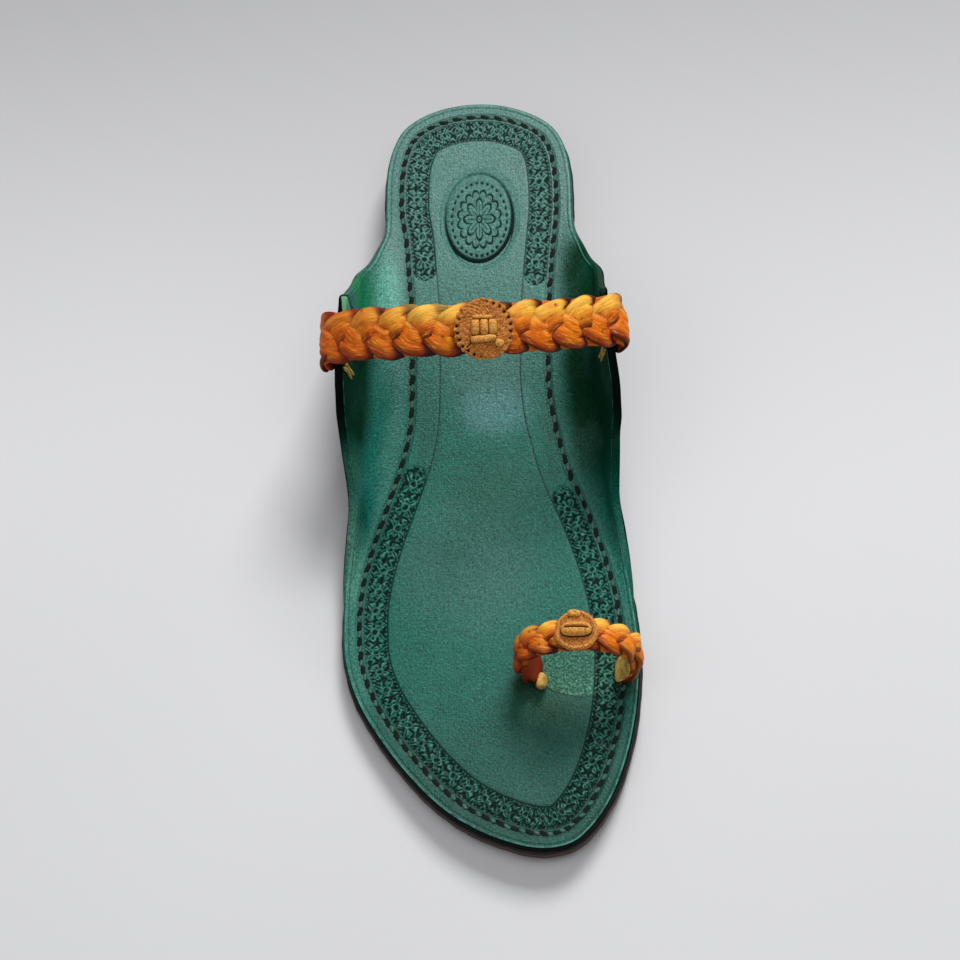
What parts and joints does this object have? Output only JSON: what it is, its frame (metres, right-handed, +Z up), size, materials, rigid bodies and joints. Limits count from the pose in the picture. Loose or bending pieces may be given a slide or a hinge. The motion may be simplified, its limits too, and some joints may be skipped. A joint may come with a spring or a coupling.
{
  "type": "kolhapuri sandal",
  "caption": "Flat leather slide with turned-up waist ears, a braided instep strap with a rosette, and a braided big-toe ring with a button.",
  "frame": {"origin": "on the floor, under the centre of the sandal's bounding box", "axes": "+Z up, +Y to the heel, +X to the big-toe side of this right-foot sandal"},
  "size_m": [0.103, 0.268, 0.0781],
  "materials": {
    "sole_leather": "burnished vegetable-tanned sole leather",
    "dyed_leather": "hand-dyed green leather, waxed, with pressed borders",
    "braid_leather": "amber-dyed braided leather, satin",
    "tan_leather": "undyed tan leather with a fuzzy cut edge",
    "thong_leather": "raw pale thong"
  },
  "bodies": {
    "root": {"outsole": "sole_leather", "heel": "sole_leather", "footbed": "dyed_leather", "instep_strap": "braid_leather", "toe_ring": "braid_leather", "rosette": "tan_leather", "rosette_knot": "tan_leather", "ring_button": "tan_leather", "ring_bean": "tan_leather", "lashing_lateral": "thong_leather", "lashing_medial": "thong_leather"}
  },
  "joints": []
}
